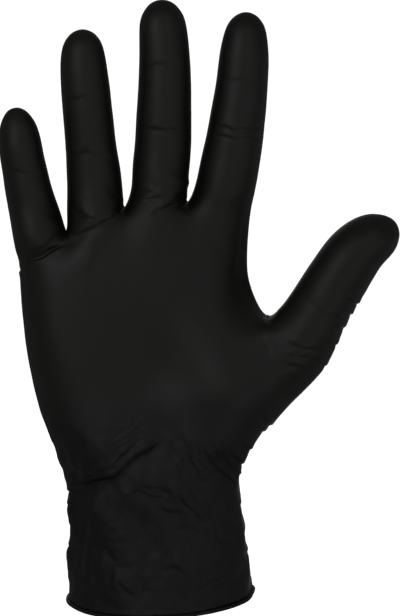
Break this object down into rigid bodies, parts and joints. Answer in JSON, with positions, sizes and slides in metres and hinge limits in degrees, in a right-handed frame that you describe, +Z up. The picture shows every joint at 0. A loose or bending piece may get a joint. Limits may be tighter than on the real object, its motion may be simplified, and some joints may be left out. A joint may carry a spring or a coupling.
{
  "type": "nitrile exam glove",
  "caption": "Black nitrile exam glove in the form of a worn right hand, hollow, with a long cuff that ends in a thin rolled edge.",
  "frame": {"origin": "middle of the cuff opening, where the wrist goes in", "axes": "+Z up the forearm towards the fingers, +X towards the thumb, the palm faces -Y"},
  "size_m": [0.158, 0.0584, 0.2433],
  "materials": {
    "glove_film": "matte black nitrile film",
    "cuff_bead": "matte black nitrile, rolled"
  },
  "bodies": {
    "root": {"glove_film": "glove_film", "cuff_bead": "cuff_bead"}
  },
  "joints": []
}
